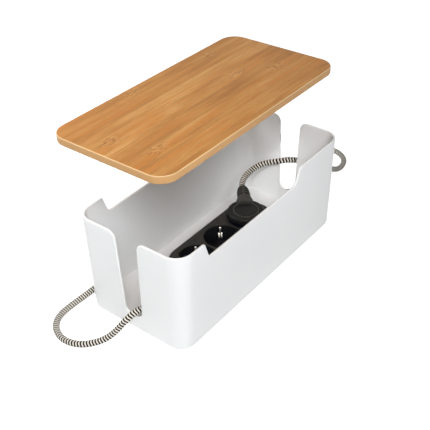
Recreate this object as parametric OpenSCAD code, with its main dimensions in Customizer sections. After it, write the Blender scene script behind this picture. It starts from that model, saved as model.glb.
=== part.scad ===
// Cable management box. A white tray with a cord slot in each end wall stands on four rubber
// feet, and a bamboo lid on two battens covers it. On its floor lies an earthed three-way socket
// strip with its lead. An angled plug sits in the third socket. Each lead's spare length is
// wound into a tied coil behind the box, with its plug or connector lying on the coil.
// Millimetres, Z up. The origin is on the table under the middle of the box, X along the box.

/* [Box] */
// Length over the end walls
box_l = 300; // [294:2:320]
// Width over the long walls
box_w = 140; // [134:2:160]
// Height of the rim above the table
box_h = 124; // [118:2:140]
// Thickness of the walls
wall = 3; // [2.4:0.2:3.6]
// Thickness of the floor
floor_t = 3; // [2.4:0.2:4]
// Radius of the upright corners
corner_r = 20; // [16:1:24]
// Radius of the bottom edge
edge_r = 4; // [2:0.5:6]
// How far the rim of a long wall is lowered
notch_depth = 20; // [12:1:28]
// Width of an end slot at the rim
slot_top_w = 29; // [25:1:34]
// Width of an end slot at its foot
slot_foot_w = 22.5; // [20:0.5:24.5]
// Height of a slot's foot above the table
slot_foot_h = 21; // [16:1:22]

/* [Feet] */
// Radius of a rubber foot
foot_r = 5; // [4:0.5:8]
// Height of the feet below the floor
foot_h = 1.5; // [1:0.25:3]

/* [Lid] */
// Overhang of the lid past each long wall
lid_over = 4; // [2:0.5:8]
// Thickness of the bamboo board
lid_t = 8.5; // [7.5:0.5:12]
// Height of the raised board above the table
lid_rest_h = 203; // [190:1:215]
// How far the raised lid is set back
lid_back = 17; // [0:1:25]
// Width of a batten
batten_w = 10; // [8:1:14]
// Height of a batten
batten_t = 5; // [4:0.5:8]

/* [Socket strip] */
// Length of the strip
strip_l = 162; // [160:1:172]
// Width of the strip
strip_w = 60; // [58:1:64]
// Height of the strip
strip_h = 39.5; // [38.5:0.5:42]
// Radius of a socket well
well_r = 21.8; // [21.7:0.1:22]
// Distance from one well to the next
well_pitch = 46; // [46:0.5:48]
// Diameter of both leads
lead_d = 7.6; // [6.6:0.2:8]

/* [Hidden] */
$fn = 96;

over = 1;           // how far a cutter runs past the face that it opens
snug = 0.05;        // radial gap of a running fit
seat_gap = 0.1;     // gap between a loose piece and its seat
inner_edge_r = 2;   // edge radius inside the tray

// Tray
floor_z = foot_h + floor_t;
notch_near_x = -104;
notch_near_top_x = -111;
notch_far_x = 53;
notch_far_top_x = 59.5;
notch_near_foot_r = 5;
notch_far_foot_r = 10;
notch_near_lip_r = 3.5;
notch_far_lip_r = 6;
slot_foot_r = 9;
slot_lip_r = 9.5;
trim_h = 12;        // height of the block that trims the rim to its outline
foot_inset = 22;
foot_recess = 0.6;

// Lid
lid_l = box_l;
lid_w = box_w + 2 * lid_over;
lid_edge_r = 1.5;
batten_gap = 2;     // between a batten and the walls that it drops between
batten_l = box_l - 2 * wall - corner_r - batten_gap;
batten_y = box_w / 2 - wall - batten_gap - batten_w / 2;
screw_pitch = 115;
wood_screw_r = 1.5;
wood_screw_head_r = 3.4;
wood_screw_head_t = 2;
wood_screw_bite = 6;
wood_screw_tip = 1.5;
recess_w = 0.8;
recess_t = 1;
recess_share = 1.2; // length of a cross recess against its head's radius

// Socket strip, from its own middle and underside
strip_x = -6.4;
strip_y = -11;
shell = 2;
base_h = 12;
top_edge_r = 3;
top_t = 2.5;
well_wall = 1.6;
insert_gap = 0.1;
insert_z = 19.5;
insert_t = 2.5;
well_floor_z = insert_z + insert_t;
ledge_t = 2;
ledge_r = 17.5;
well_x = [-well_pitch, 0, well_pitch];
pin_r = 2.4;
pin_off = 6.72;     // a pin's offset along X and along Y: pins stand 19 apart
pin_hole_r = 2.75;
contact_r = pin_r + snug;
contact_wall = 0.75;
contact_z = 2.5;
contact_top_z = 17.5;
bar_t = 1;
bar_w = 5;
earth_bar_z = 5.5;
earth_turn = 45;
clip_r = 20.3;
clip_t = 0.8;
clip_w = 4.5;
clip_top_z = 36;
clip_slot_w = 5.5;
clip_slot_r = 19.6;
post_r = 3.5;
base_post_r = 4.6;
post_spots = [[23, 22], [23, -22], [-23, 22], [-23, -22], [strip_l / 2 - 7, 0]];
strip_screw_r = 1.5;
strip_screw_head_r = 2.9;
strip_screw_head_t = 2;
strip_screw_l = 20;
counterbore_t = 6;
clearance_r = 1.7;
rib_w = 3;
rib_l = 6;

// Strain relief of the strip and the clamp behind it
relief_l = 20;
relief_r = 7;
relief_tip_r = 4.9;
relief_neck_r = 5.5;
relief_flange_t = 2;
relief_inset = 1;   // keeps the flange clear of the round end wall
relief_groove_t = 0.3;
clamp_l = 5.5;
clamp_space = 0.5;  // between the flange and the clamp
clamp_x = -strip_l / 2 + shell + relief_inset + relief_flange_t + clamp_space + clamp_l / 2;
clamp_w = 21;
clamp_t = 5.8;
clamp_gap = 0.4;
clamp_screw_y = 7;
clamp_screw_l = 12;
saddle_bore_t = 8;

// Shutters
shutter_gap = 0.3;
shutter_t = 1.5;
shutter_z = insert_z - shutter_gap - shutter_t;
shutter_hub_r = 4;
shutter_lobe_r = 3.1;
shutter_arm_w = 4;
shutter_open = 38;
stub_r = 1.8;
stub_head_r = 2.6;
stub_head_z = 13.5;
stub_head_t = 0.8;
spring_in_r = 2.2;
spring_out_r = 3;
spring_z = 14.5;
spring_h = 2.9;
spring_wire = 0.8;
spring_leg_z = 14.7;
spring_post_x = 14;
spring_post_r = 1;

// Angled plug in the third well, from the same underside
plug_x = strip_x + well_x[2];
plug_skirt_r = 21.4;
plug_skirt_z = well_floor_z + seat_gap;
plug_cover_z = 43.5;
plug_cover_t = 7;
plug_cover_r = 22.5;
plug_ring_r = 16;
plug_ring_w = 1.2;
plug_ring_t = 0.8;
grip_count = 24;
grip_r = 1.3;
grip_t = 5.5;
pin_l = 19;
pin_root = 6;
pin_tip = 1;
earth_notch_w = 6.5;
earth_notch_r = 19.2;
earth_notch_top = 38;
earth_strip_t = 0.6;
earth_strip_w = 5;
boot_turn = 41;
boot_z = 51;
boot_from = 15;
boot_to = 44;
boot_thick = 8;
boot_r = 7.5;
boot_tip_r = 6;
boot_groove_w = 1.2;
boot_groove_t = 0.9;
boot_groove_pitch = 4.5;

// Leads. Each list is one stretch of a route by hand, counted from the place that it names.
lead_r = lead_d / 2;
lead_sides = 12;
plug_end = [plug_x + boot_to * cos(boot_turn), strip_y + boot_to * sin(boot_turn), floor_z + boot_z];
far_wall = [box_l / 2, 0, 0];
near_wall = [-box_l / 2, 0, 0];
back_left = [-box_l / 2, box_w / 2, 0];
back_right = [box_l / 2, box_w / 2, 0];
strip_end = [strip_x - strip_l / 2, strip_y, floor_z + base_h];
inside_from_plug = [
    [0.3, 0.26, 0], [8.9, 7, 0], [20.6, 12, 0.4], [33.4, 13.6, 1.5], [46, 11.9, 3.3], [57.6, 5.5, 5.8]
];
beyond_far_wall = [
    [-10, 12.5, 63], [1, 4, 62.5], [16, -5, 57.5], [34, -10, 48], [52, -13, 37], [70, -15, 24.5],
    [90, -16.5, 11], [110, -16, 4.2], [129, -10, 3.8], [141, 4, 3.8], [143.6, 13, 3.8], [143, 22, 3.8],
    [134, 38, 3.8], [117, 46, 3.8], [99, 43, 3.8], [85, 31, 3.8], [71, 17, 3.8], [56, 6, 3.8],
    [38, 1, 3.8], [20, 6, 3.8], [9, 20, 3.8], [6, 38, 3.8]
];
to_far_coil = [[6, -10, 3.8], [7, 12, 3.8], [8, 32, 4.2], [9.2, 54, 4.6]];
inside_from_strip = [[14, 0, 0], [7, 0, 0], [0, 0, 0], [-10, 0, 0.2], [-21, 0.1, 2.2], [-32.1, 1.3, 5.7]];
beyond_near_wall = [
    [19.5, -6.8, 25.2], [10.4, -4.2, 26.4], [2.6, -1.7, 25.7], [-4.4, 0.3, 23.2], [-10.8, 2.9, 18.8],
    [-16.8, 5.8, 13.4], [-23.2, 8.8, 8.7], [-31.4, 13, 5.3], [-41.5, 20, 3.9], [-49.6, 28.1, 3.8],
    [-54.5, 38.5, 3.8], [-55.5, 49.9, 3.8], [-52.5, 60.9, 3.8]
];
to_back_coil = [
    [-45.9, 0.3, 3.8], [-36.5, 6.9, 3.8], [-22.6, 10, 3.8], [2, 10, 3.8], [32, 10, 3.8], [62, 10, 3.8],
    [92, 10, 3.8], [122, 10, 3.8], [152, 10, 3.8], [182, 10, 3.8], [212, 10, 3.8], [230, 10.1, 4.2],
    [248, 10.2, 4.6]
];

// Coils and what lies on them, counted from the middle of each coil
tie_t = 0.8;
tie_w = 12;
tie_gap = 0.6;
coil_r = 40;
coil_rise = 2 * lead_d;
coil_z = tie_t;
far_coil = back_right + [53, 54, 0];
back_coil = back_left + [248, 54, 0];
back_tail = [
    [0, -40, 12.2], [12, -40, 13.2], [25, -39.5, 15.5], [39, -36.7, 18.5], [50.8, -28.8, 21.5],
    [58.7, -17, 24.5], [61.5, -3, 27.5], [58.7, 11, 30.3], [50.8, 22.8, 32.6], [39, 30.7, 34.1],
    [25, 33.5, 34.5]
];
far_tail = [
    [-40, 0, 12.2], [-35.5, 20, 14], [-22, 34, 18], [-5, 39.5, 22.5], [13, 36, 25.5], [26, 24, 26],
    [30, 9, 26]
];

// Mains plug, from the point where its lead enters, its pins toward +X
mains_boot_l = 20;
mains_boot_tip_r = 5;
mains_boot_r = 7;
mains_grip_l = 14;
mains_grip_r = 11;
mains_grip_end_r = 13;
mains_face_r = 18.5;
mains_face_t = 16;
mains_earth_w = 5;
mains_earth_out = 17.4;
mains_face_x = mains_boot_l + mains_grip_l + mains_face_t;
mains_pin_half = 9.5;

// Connector, from the point where its lead enters, its contacts toward +X
link_boot_l = 20;
link_boot_r = 6.5;
link_l = 38;
link_w = 28;
link_h = 20;
link_corner = 4;
link_slot = [16, 1.4, 4.4];
link_contact_wall = 0.3;
contact_w = link_slot[1] + 2 * link_contact_wall;
contact_h = link_slot[2] + 2 * link_contact_wall;
link_pitch = 7;
link_step = 4;

// Half of the angle at a corner between the ways to its two neighbours
function way(a, b) = (b - a) / norm(b - a);
function half_angle(p, q, s) = acos(way(p, q) * way(p, s)) / 2;
function bulges(p, q, s) = (p[0] - q[0]) * (s[1] - p[1]) - (p[1] - q[1]) * (s[0] - p[0]) > 0;

// A closed outline, counter-clockwise, with its own radius at each corner
module soft_outline(corners, radii) {
    n = len(corners);
    before = [for (i = [0 : n - 1]) corners[(i + n - 1) % n]];
    after = [for (i = [0 : n - 1]) corners[(i + 1) % n]];
    half = [for (i = [0 : n - 1]) half_angle(corners[i], before[i], after[i])];
    bend = [for (i = [0 : n - 1])
        way(corners[i], corners[i] + way(corners[i], before[i]) + way(corners[i], after[i]))];
    middle = [for (i = [0 : n - 1]) corners[i] + bend[i] * radii[i] / sin(half[i])];
    ends = [for (i = [0 : n - 1]) each radii[i] == 0 ? [corners[i]] : [
        corners[i] + way(corners[i], before[i]) * radii[i] / tan(half[i]),
        corners[i] + way(corners[i], after[i]) * radii[i] / tan(half[i])
    ]];
    difference() {
        union() {
            polygon(ends);
            for (i = [0 : n - 1])
                if (radii[i] > 0 && bulges(corners[i], before[i], after[i]))
                    translate(middle[i]) circle(radii[i]);
        }
        for (i = [0 : n - 1])
            if (radii[i] > 0 && !bulges(corners[i], before[i], after[i]))
                translate(middle[i]) circle(radii[i]);
    }
}

// A rectangle with round corners, and one with round ends
module round_rect(l, w, r) {
    square([l, w - 2 * r], center = true);
    square([l - 2 * r, w], center = true);
    for (x = [-1, 1], y = [-1, 1])
        translate([x * (l / 2 - r), y * (w / 2 - r)]) circle(r);
}

module stadium(l, w) {
    square([l - w, w], center = true);
    for (x = [-1, 1])
        translate([x * (l - w) / 2, 0]) circle(w / 2);
}

// The right half of an upright section with a soft foot and a soft head, reach wide
module soft_half(reach, h, foot, head) {
    translate([0, foot]) square([reach, h - foot - head]);
    square([reach - foot, h / 2]);
    translate([0, h / 2]) square([reach - head, h / 2]);
    if (foot > 0)
        intersection() {
            translate([reach - foot, foot]) circle(foot);
            square([reach, h]);
        }
    if (head > 0)
        intersection() {
            translate([reach - head, h - head]) circle(head);
            square([reach, h]);
        }
}

module soft_section(w, h, foot, head) {
    soft_half(w / 2, h, foot, head);
    mirror([1, 0]) soft_half(w / 2, h, foot, head);
}

// A block with round upright corners whose foot and head edges are soft
module soft_block(l, w, h, r, foot, head) {
    translate([-l / 2 + r, 0, 0]) rotate([90, 0, 90])
        linear_extrude(l - 2 * r) soft_section(w, h, foot, head);
    translate([0, w / 2 - r, 0]) rotate([90, 0, 0])
        linear_extrude(w - 2 * r) soft_section(l, h, foot, head);
    for (x = [-1, 1], y = [-1, 1])
        translate([x * (l / 2 - r), y * (w / 2 - r), 0]) rotate_extrude() soft_half(r, h, foot, head);
}

// A long body with round ends whose head edge is soft
module soft_stadium(l, w, h, head) {
    translate([-(l - w) / 2, 0, 0]) rotate([90, 0, 90]) linear_extrude(l - w) soft_section(w, h, 0, head);
    for (x = [-1, 1])
        translate([x * (l - w) / 2, 0, 0]) rotate_extrude() soft_half(w / 2, h, 0, head);
}

// Tray
module rim_outline() {
    top = box_h + trim_h;
    side = box_l / 2 + over;
    soft_outline(
        [[notch_near_x, box_h - notch_depth], [notch_far_x, box_h - notch_depth], [notch_far_top_x, box_h],
         [side, box_h], [side, top], [-side, top], [-side, box_h], [notch_near_top_x, box_h]],
        [notch_near_foot_r, notch_far_foot_r, notch_far_lip_r, 0, 0, 0, 0, notch_near_lip_r]);
}

module slot_outline() {
    top = box_h + trim_h;
    side = slot_top_w / 2 + 2 * slot_lip_r;
    soft_outline(
        [[-slot_foot_w / 2, slot_foot_h], [slot_foot_w / 2, slot_foot_h], [slot_top_w / 2, box_h],
         [side, box_h], [side, top], [-side, top], [-side, box_h], [-slot_top_w / 2, box_h]],
        [slot_foot_r, slot_foot_r, slot_lip_r, 0, 0, 0, 0, slot_lip_r]);
}

module foot_spots() {
    for (x = [-1, 1], y = [-1, 1])
        translate([x * (box_l / 2 - foot_inset), y * (box_w / 2 - foot_inset), 0]) children();
}

module box_body() {
    color("white") difference() {
        translate([0, 0, foot_h]) soft_block(box_l, box_w, box_h + over, corner_r, edge_r, 0);
        translate([0, 0, floor_z])
            soft_block(box_l - 2 * wall, box_w - 2 * wall, box_h, corner_r - wall, inner_edge_r, 0);
        translate([0, box_w / 2 + over, 0]) rotate([90, 0, 0])
            linear_extrude(box_w + 2 * over) rim_outline();
        translate([-box_l / 2 - over, 0, 0]) rotate([90, 0, 90])
            linear_extrude(box_l + 2 * over) slot_outline();
        foot_spots() cylinder(h = foot_h + foot_recess, r = foot_r + snug);
    }
}

module box_feet() {
    color("dimgray") foot_spots() cylinder(h = foot_h + foot_recess, r = foot_r);
}

// Lid
module at_lid() {
    translate([0, lid_back, lid_rest_h]) children();
}

module batten_screw_spots(y) {
    for (x = [-1, 0, 1])
        translate([x * screw_pitch, y, -batten_t]) children();
}

module lid_board() {
    color("burlywood") at_lid() difference() {
        soft_block(lid_l, lid_w, lid_t, corner_r, lid_edge_r, lid_edge_r);
        for (y = [-batten_y, batten_y])
            batten_screw_spots(y) cylinder(h = batten_t + wood_screw_bite, r = wood_screw_r);
    }
}

module batten(y) {
    color("tan") at_lid() difference() {
        translate([0, y, -batten_t]) linear_extrude(batten_t) stadium(batten_l, batten_w);
        batten_screw_spots(y) {
            cylinder(h = wood_screw_head_t, r1 = wood_screw_head_r, r2 = wood_screw_r);
            translate([0, 0, -over]) cylinder(h = batten_t + 2 * over, r = wood_screw_r);
        }
    }
}

module lid_batten_front() {
    batten(-batten_y);
}

module lid_batten_back() {
    batten(batten_y);
}

module cross_recess(r) {
    for (turn = [0, 90])
        rotate([0, 0, turn]) translate([0, 0, recess_t / 2 - over / 2])
            cube([recess_share * r, recess_w, recess_t + over], center = true);
}

module wood_screw() {
    length = batten_t + wood_screw_bite;
    difference() {
        union() {
            cylinder(h = wood_screw_head_t, r1 = wood_screw_head_r, r2 = wood_screw_r);
            cylinder(h = length - wood_screw_tip, r = wood_screw_r);
            translate([0, 0, length - wood_screw_tip])
                cylinder(h = wood_screw_tip, r1 = wood_screw_r, r2 = 0);
        }
        cross_recess(wood_screw_head_r);
    }
}

module batten_screws() {
    color("silver") at_lid() for (y = [-batten_y, batten_y])
        batten_screw_spots(y) wood_screw();
}

// Socket strip
module at_strip() {
    translate([strip_x, strip_y, floor_z]) children();
}

module at_posts(z) {
    for (spot = post_spots)
        translate([spot[0], spot[1], z]) children();
}

module lead_way(r) {
    translate([-strip_l / 2 - over, 0, base_h]) rotate([0, 90, 0]) cylinder(h = shell + 2 * over, r = r);
}

module strip_base() {
    color("dimgray") at_strip() difference() {
        union() {
            difference() {
                linear_extrude(base_h) stadium(strip_l, strip_w);
                translate([0, 0, shell])
                    linear_extrude(base_h) stadium(strip_l - 2 * shell, strip_w - 2 * shell);
            }
            at_posts(0) cylinder(h = base_h, r = base_post_r);
            for (x = [-post_spots[0][0], post_spots[0][0]], y = [-pin_off, pin_off])
                translate([x - rib_w / 2, y - rib_l / 2, 0]) cube([rib_w, rib_l, contact_z]);
            for (x = [-post_spots[0][0], post_spots[0][0]])
                translate([x - rib_w / 2, -rib_w / 2, 0]) cube([rib_w, rib_w, earth_bar_z]);
            translate([clamp_x - clamp_l / 2, -clamp_w / 2, 0])
                cube([clamp_l, clamp_w, base_h - clamp_gap]);
        }
        at_posts(-over) cylinder(h = counterbore_t + over, r = strip_screw_head_r + seat_gap);
        at_posts(0) cylinder(h = base_h + over, r = clearance_r);
        for (y = [-clamp_screw_y, clamp_screw_y])
            translate([clamp_x, y, base_h - clamp_gap - saddle_bore_t])
                cylinder(h = base_h, r = strip_screw_r);
        translate([clamp_x - clamp_l, 0, base_h]) rotate([0, 90, 0])
            cylinder(h = 2 * clamp_l, r = lead_r);
        lead_way(relief_neck_r);
    }
}

module clip_slots() {
    for (turn = [0, 180])
        rotate([0, 0, earth_turn + turn]) translate([clip_slot_r, -clip_slot_w / 2, 0])
            cube([well_r - clip_slot_r, clip_slot_w, insert_t + 2 * ledge_t]);
}

module strip_cover() {
    ledge_z = insert_z - ledge_t;
    color("dimgray") at_strip() difference() {
        union() {
            difference() {
                translate([0, 0, base_h]) soft_stadium(strip_l, strip_w, strip_h - base_h, top_edge_r);
                translate([0, 0, base_h - over]) linear_extrude(strip_h - base_h - top_t + over)
                    stadium(strip_l - 2 * shell, strip_w - 2 * shell);
            }
            for (x = well_x)
                translate([x, 0, ledge_z]) cylinder(h = strip_h - ledge_z - over, r = well_r + well_wall);
            at_posts(base_h) cylinder(h = strip_h - base_h - over, r = post_r);
        }
        for (x = well_x)
            translate([x, 0, 0]) {
                translate([0, 0, insert_z]) cylinder(h = strip_h, r = well_r);
                cylinder(h = strip_h, r = ledge_r);
                translate([0, 0, ledge_z - ledge_t / 2]) clip_slots();
            }
        at_posts(0) cylinder(h = counterbore_t + strip_screw_l - strip_screw_head_t, r = strip_screw_r);
        lead_way(relief_neck_r);
    }
}

module pan_screw(length) {
    difference() {
        union() {
            cylinder(h = strip_screw_head_t, r = strip_screw_head_r);
            cylinder(h = length, r = strip_screw_r);
        }
        cross_recess(strip_screw_head_r);
    }
}

module strip_screws() {
    color("silver") at_strip() at_posts(counterbore_t - strip_screw_head_t) pan_screw(strip_screw_l);
}

module lead_clamp() {
    color("gray") at_strip() difference() {
        translate([clamp_x - clamp_l / 2, -clamp_w / 2, base_h + clamp_gap / 2])
            cube([clamp_l, clamp_w, clamp_t]);
        translate([clamp_x - clamp_l, 0, base_h]) rotate([0, 90, 0]) cylinder(h = 2 * clamp_l, r = lead_r);
        for (y = [-clamp_screw_y, clamp_screw_y])
            translate([clamp_x, y, 0]) cylinder(h = strip_h, r = clearance_r);
    }
}

module clamp_screws() {
    top = base_h + clamp_gap / 2 + clamp_t;
    color("silver") at_strip() for (y = [-clamp_screw_y, clamp_screw_y])
        translate([clamp_x, y, top + strip_screw_head_t]) mirror([0, 0, 1])
            pan_screw(clamp_screw_l + strip_screw_head_t);
}

module strip_boot() {
    out = strip_l / 2;
    color("black") at_strip() translate([-out, 0, base_h]) rotate([0, -90, 0]) difference() {
        union() {
            translate([0, 0, -shell - relief_inset - relief_flange_t])
                cylinder(h = relief_flange_t, r = relief_r);
            translate([0, 0, -shell - relief_inset - seat_gap])
                cylinder(h = shell + relief_inset + 2 * seat_gap, r = relief_neck_r);
            translate([0, 0, seat_gap]) cylinder(h = relief_l - seat_gap, r1 = relief_r, r2 = relief_tip_r);
        }
        translate([0, 0, -relief_l]) cylinder(h = 2 * relief_l + over, r = lead_r);
        for (z = [boot_groove_pitch : boot_groove_pitch : relief_l - boot_groove_w])
            translate([0, 0, z]) difference() {
                cylinder(h = boot_groove_w, r = relief_r + over);
                cylinder(h = boot_groove_w, r = relief_tip_r + relief_groove_t);
            }
    }
}

// Contacts
module contact_bar(side) {
    color("gold") at_strip() difference() {
        union() {
            translate([-well_pitch - pin_off - bar_w, side * pin_off - bar_w / 2, contact_z])
                cube([2 * (well_pitch + pin_off + bar_w), bar_w, bar_t]);
            for (x = well_x)
                translate([x - side * pin_off, side * pin_off, contact_z])
                    cylinder(h = contact_top_z - contact_z, r = contact_r + contact_wall);
        }
        for (x = well_x)
            translate([x - side * pin_off, side * pin_off, 0]) cylinder(h = strip_h, r = contact_r);
    }
}

module live_bar() {
    contact_bar(1);
}

module neutral_bar() {
    contact_bar(-1);
}

module earth_bar() {
    color("khaki") at_strip() translate([0, 0, earth_bar_z]) {
        translate([-well_pitch - bar_w, -bar_w / 2, 0]) cube([2 * (well_pitch + bar_w), bar_w, bar_t]);
        for (x = well_x, turn = [0, 180])
            translate([x, 0, 0]) rotate([0, 0, earth_turn + turn]) {
                translate([0, -clip_w / 2, 0]) cube([clip_r + clip_t, clip_w, bar_t]);
                translate([clip_r, -clip_w / 2, 0]) cube([clip_t, clip_w, clip_top_z - earth_bar_z]);
            }
    }
}

// Socket inserts and shutters
module pin_spots() {
    for (side = [-1, 1])
        translate([-side * pin_off, side * pin_off, 0]) children();
}

module socket_insert(number) {
    color("dimgray") at_strip() translate([well_x[number - 1], 0, 0]) {
        difference() {
            translate([0, 0, insert_z]) cylinder(h = insert_t, r = well_r - insert_gap);
            pin_spots() cylinder(h = strip_h, r = pin_hole_r);
            translate([0, 0, insert_z - ledge_t / 2]) clip_slots();
        }
        translate([0, 0, stub_head_z]) cylinder(h = insert_z - stub_head_z + insert_t / 2, r = stub_r);
        translate([0, 0, stub_head_z]) cylinder(h = stub_head_t, r = stub_head_r);
        translate([spring_post_x, 0, stub_head_z])
            cylinder(h = insert_z - stub_head_z + insert_t / 2, r = spring_post_r);
    }
}

module socket_insert_1() {
    socket_insert(1);
}

module socket_insert_2() {
    socket_insert(2);
}

module socket_insert_3() {
    socket_insert(3);
}

module shutter(number, turn) {
    reach = norm([pin_off, pin_off]);
    color("orange") at_strip() translate([well_x[number - 1], 0, shutter_z]) rotate([0, 0, turn])
    difference() {
        union() {
            cylinder(h = shutter_t, r = shutter_hub_r);
            rotate([0, 0, -earth_turn]) translate([-reach, -shutter_arm_w / 2, 0])
                cube([2 * reach, shutter_arm_w, shutter_t]);
            pin_spots() cylinder(h = shutter_t, r = shutter_lobe_r);
        }
        translate([0, 0, -over]) cylinder(h = shutter_t + 2 * over, r = stub_r + snug);
    }
}

module shutter_1() {
    shutter(1, 0);
}

module shutter_2() {
    shutter(2, 0);
}

module shutter_3() {
    shutter(3, shutter_open);
}

module shutter_springs() {
    color("silver") at_strip() for (x = well_x)
        translate([x, 0, 0]) {
            translate([0, 0, spring_z]) rotate_extrude()
                translate([spring_in_r, 0]) square([spring_out_r - spring_in_r, spring_h]);
            translate([spring_out_r - spring_wire / 2, -spring_wire / 2, spring_leg_z])
                cube([spring_post_x - spring_post_r - spring_out_r, spring_wire, spring_wire]);
        }
}

// Angled plug
module at_plug() {
    translate([plug_x, strip_y, floor_z]) children();
}

module boot_shape(grow) {
    rotate([0, 0, boot_turn]) translate([boot_from, 0, boot_z]) rotate([0, 90, 0]) {
        cylinder(h = boot_thick, r = boot_r + grow);
        translate([0, 0, boot_thick])
            cylinder(h = boot_to - boot_from - boot_thick, r1 = boot_r + grow, r2 = boot_tip_r + grow);
    }
}

module plug_body() {
    color("midnightblue") at_plug() difference() {
        translate([0, 0, plug_skirt_z]) cylinder(h = plug_cover_z - plug_skirt_z, r = plug_skirt_r);
        for (turn = [0, 180])
            rotate([0, 0, earth_turn + turn]) translate([earth_notch_r, -earth_notch_w / 2, 0])
                cube([plug_skirt_r, earth_notch_w, earth_notch_top]);
        pin_spots() cylinder(h = plug_skirt_z + pin_root, r = pin_r);
    }
}

module plug_cover() {
    color("black") at_plug() difference() {
        translate([0, 0, plug_cover_z]) cylinder(h = plug_cover_t, r = plug_cover_r);
        for (i = [0 : grip_count - 1])
            rotate([0, 0, i * 360 / grip_count])
                translate([plug_cover_r + grip_r / 2, 0, plug_cover_z - over])
                cylinder(h = grip_t + over, r = grip_r);
        translate([0, 0, plug_cover_z + plug_cover_t - plug_ring_t]) difference() {
            cylinder(h = plug_cover_t, r = plug_ring_r + plug_ring_w);
            translate([0, 0, -over]) cylinder(h = plug_cover_t + 2 * over, r = plug_ring_r);
        }
        boot_shape(0);
    }
}

module pin(length, root) {
    translate([0, 0, -length + pin_tip]) cylinder(h = length - pin_tip + root, r = pin_r);
    translate([0, 0, -length]) cylinder(h = pin_tip, r1 = pin_r - pin_tip, r2 = pin_r);
}

module plug_pins() {
    color("silver") at_plug() translate([0, 0, plug_skirt_z]) pin_spots() pin(pin_l, pin_root);
}

module plug_earth() {
    color("khaki") at_plug() for (turn = [0, 180])
        rotate([0, 0, earth_turn + turn]) translate([earth_notch_r, -earth_strip_w / 2, plug_skirt_z])
            cube([earth_strip_t, earth_strip_w, earth_notch_top - plug_skirt_z]);
}

module plug_boot() {
    groove_end = boot_to - boot_from - boot_thick - boot_groove_w;
    color("black") at_plug() difference() {
        boot_shape(0);
        rotate([0, 0, boot_turn]) translate([boot_from + boot_thick, 0, boot_z]) rotate([0, 90, 0])
            for (z = [boot_groove_pitch : boot_groove_pitch : groove_end])
                translate([0, 0, z]) difference() {
                    cylinder(h = boot_groove_w, r = boot_r + over);
                    cylinder(h = boot_groove_w, r = boot_tip_r - boot_groove_t);
                }
    }
}

// Leads
function ahead(p, i) = way(p[max(i - 1, 0)], p[min(i + 1, len(p) - 1)]);
function across(t) = way([0, 0, 0], cross(t, [0, 0, 1]));
function turned(angle, s, v) = cos(angle) * s + sin(angle) * v;
function ring(p, i, r) = let (t = ahead(p, i), s = across(t), v = cross(s, t))
    [for (k = [0 : lead_sides - 1]) p[i] + r * turned(k * 360 / lead_sides, s, v)];

module cord(route) {
    n = len(route);
    sides = [for (i = [0 : n - 2], k = [0 : lead_sides - 1])
        let (a = i * lead_sides + k, b = i * lead_sides + (k + 1) % lead_sides)
        each [[a, b, b + lead_sides], [a, b + lead_sides, a + lead_sides]]];
    start = [for (k = [0 : lead_sides - 1]) lead_sides - 1 - k];
    finish = [for (k = [0 : lead_sides - 1]) (n - 1) * lead_sides + k];
    corners = [for (i = [0 : n - 1]) each ring(route, i, lead_r)];
    color("gray") polyhedron(corners, concat([start], sides, [finish]));
}

function from(place, stretch) = [for (p = stretch) place + p];

module strip_lead() {
    cord(concat(
        from(strip_end, inside_from_strip),
        from(near_wall, beyond_near_wall), from(back_left, to_back_coil)));
}

module appliance_lead() {
    cord(concat(
        from(plug_end, inside_from_plug), from(far_wall, beyond_far_wall), from(back_right, to_far_coil)));
}

module coil(place) {
    color("gray") translate(place + [0, 0, coil_z]) rotate_extrude()
        translate([coil_r - lead_d, 0]) square([2 * lead_d, coil_rise]);
}

module coil_tie(place, turn) {
    color("black") translate(place) rotate([0, 0, turn])
        translate([coil_r, tie_w / 2, coil_z + coil_rise / 2])
        rotate([90, 0, 0]) linear_extrude(tie_w) difference() {
            square([coil_rise + 2 * tie_gap + 2 * tie_t, coil_rise + 2 * tie_t], center = true);
            square([coil_rise + 2 * tie_gap, coil_rise], center = true);
        }
}

module strip_coil() {
    coil(back_coil);
}

module strip_coil_tie() {
    coil_tie(back_coil, 180);
}

module strip_lead_tail() {
    cord(from(back_coil, back_tail));
}

module appliance_coil() {
    coil(far_coil);
}

module appliance_coil_tie() {
    coil_tie(far_coil, -90);
}

module appliance_lead_tail() {
    cord(from(far_coil, far_tail));
}

// Mains plug on the coil behind the box
module at_mains_plug() {
    translate(back_coil + back_tail[len(back_tail) - 1]) rotate([0, 0, 180]) children();
}

module mains_plug_body() {
    color("black") at_mains_plug() difference() {
        union() {
            translate([mains_boot_l, 0, 0]) rotate([0, 90, 0])
                cylinder(h = mains_grip_l, r1 = mains_grip_r, r2 = mains_grip_end_r);
            translate([mains_boot_l + mains_grip_l, 0, 0]) rotate([0, 90, 0])
                cylinder(h = mains_face_t, r = mains_face_r);
        }
        for (y = [-1, 1])
            translate([mains_boot_l + mains_grip_l - over, y * (mains_earth_out + over), 0])
                cube([2 * mains_face_t + 2 * over, 2 * over, mains_earth_w], center = true);
        for (z = [-mains_pin_half, mains_pin_half])
            translate([mains_face_x - pin_root, 0, z]) rotate([0, 90, 0])
                cylinder(h = 2 * pin_root, r = pin_r);
    }
}

module mains_plug_pins() {
    color("silver") at_mains_plug() for (z = [-mains_pin_half, mains_pin_half])
        translate([mains_face_x, 0, z]) rotate([0, -90, 0]) pin(pin_l, pin_root);
}

module mains_plug_earth() {
    color("khaki") at_mains_plug() for (y = [-1, 1])
        translate([mains_face_x - mains_face_t / 2, y * (mains_earth_out + earth_strip_t / 2), 0])
            cube([mains_face_t, earth_strip_t, mains_earth_w], center = true);
}

module mains_plug_boot() {
    color("black") at_mains_plug() rotate([0, 90, 0])
        cylinder(h = mains_boot_l, r1 = mains_boot_tip_r, r2 = mains_boot_r);
}

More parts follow.
